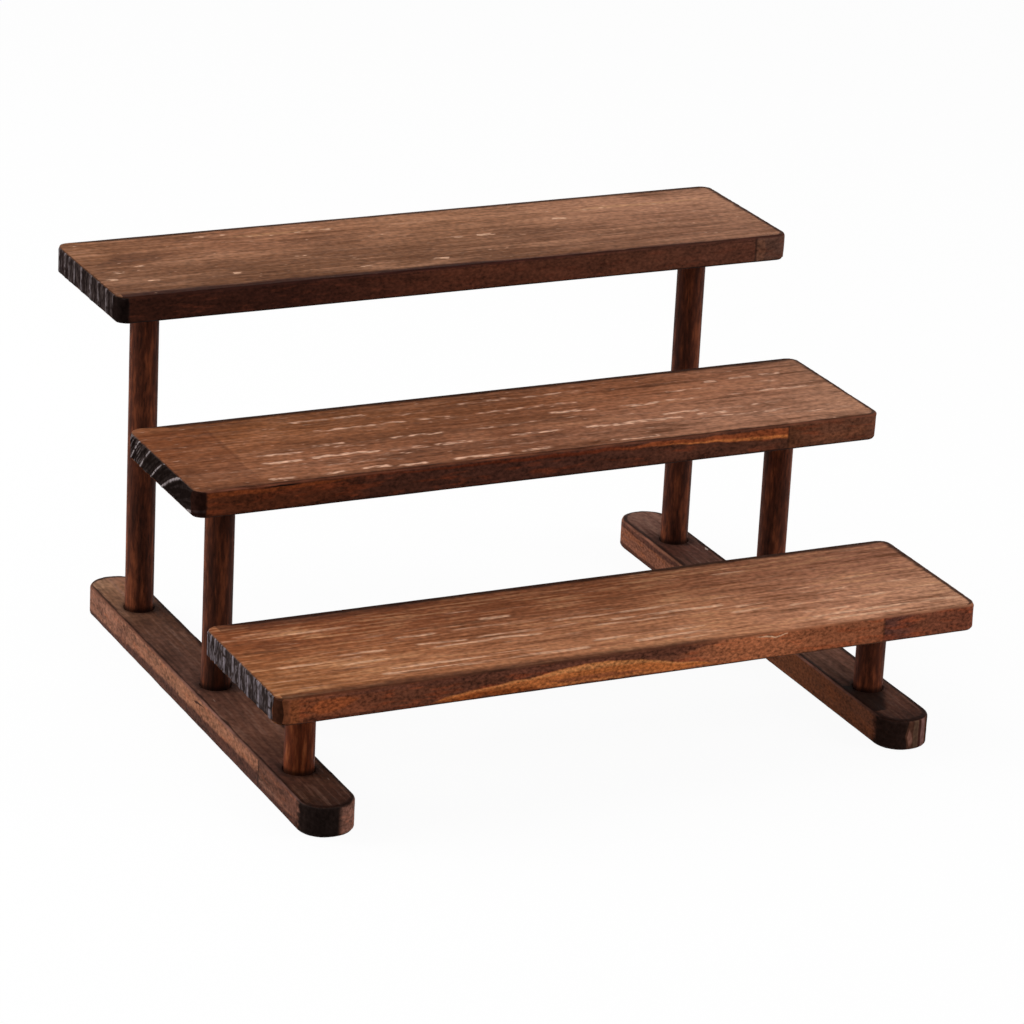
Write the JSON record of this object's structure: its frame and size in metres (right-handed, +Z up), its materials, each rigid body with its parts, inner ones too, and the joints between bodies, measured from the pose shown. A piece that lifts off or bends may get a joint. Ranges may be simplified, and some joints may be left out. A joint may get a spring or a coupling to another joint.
{
  "type": "display riser",
  "caption": "Stepped wooden display riser: long shelf boards at rising heights on round posts that stand in two flat floor rails.",
  "frame": {"origin": "on the floor, under the middle of the footprint", "axes": "+X along the shelf boards to the right, +Y from the low front tier to the high back tier, +Z up"},
  "size_m": [0.4, 0.33, 0.215],
  "materials": {
    "shelf_wood": "torched and brushed pine with a brown oil stain, satin, with pale flecks along the grain",
    "rail_wood": "torched and stained pine, darker than the shelves, with charred ends",
    "post_wood": "turned dowel, dark red-brown stain, satin",
    "screw_zinc": "bright zinc plate"
  },
  "bodies": {
    "root": {"shelf_low": "shelf_wood", "shelf_middle": "shelf_wood", "shelf_high": "shelf_wood", "base_rail_left": "rail_wood", "base_rail_right": "rail_wood", "post_low_left": "post_wood", "post_low_right": "post_wood", "post_middle_left": "post_wood", "post_middle_right": "post_wood", "post_high_left": "post_wood", "post_high_right": "post_wood", "rail_screw_low_left": "screw_zinc", "rail_screw_low_right": "screw_zinc", "rail_screw_middle_left": "screw_zinc", "rail_screw_middle_right": "screw_zinc", "rail_screw_high_left": "screw_zinc", "rail_screw_high_right": "screw_zinc", "shelf_screw_low_left": "screw_zinc", "shelf_screw_low_right": "screw_zinc", "shelf_screw_middle_left": "screw_zinc", "shelf_screw_middle_right": "screw_zinc", "shelf_screw_high_left": "screw_zinc", "shelf_screw_high_right": "screw_zinc"}
  },
  "joints": []
}
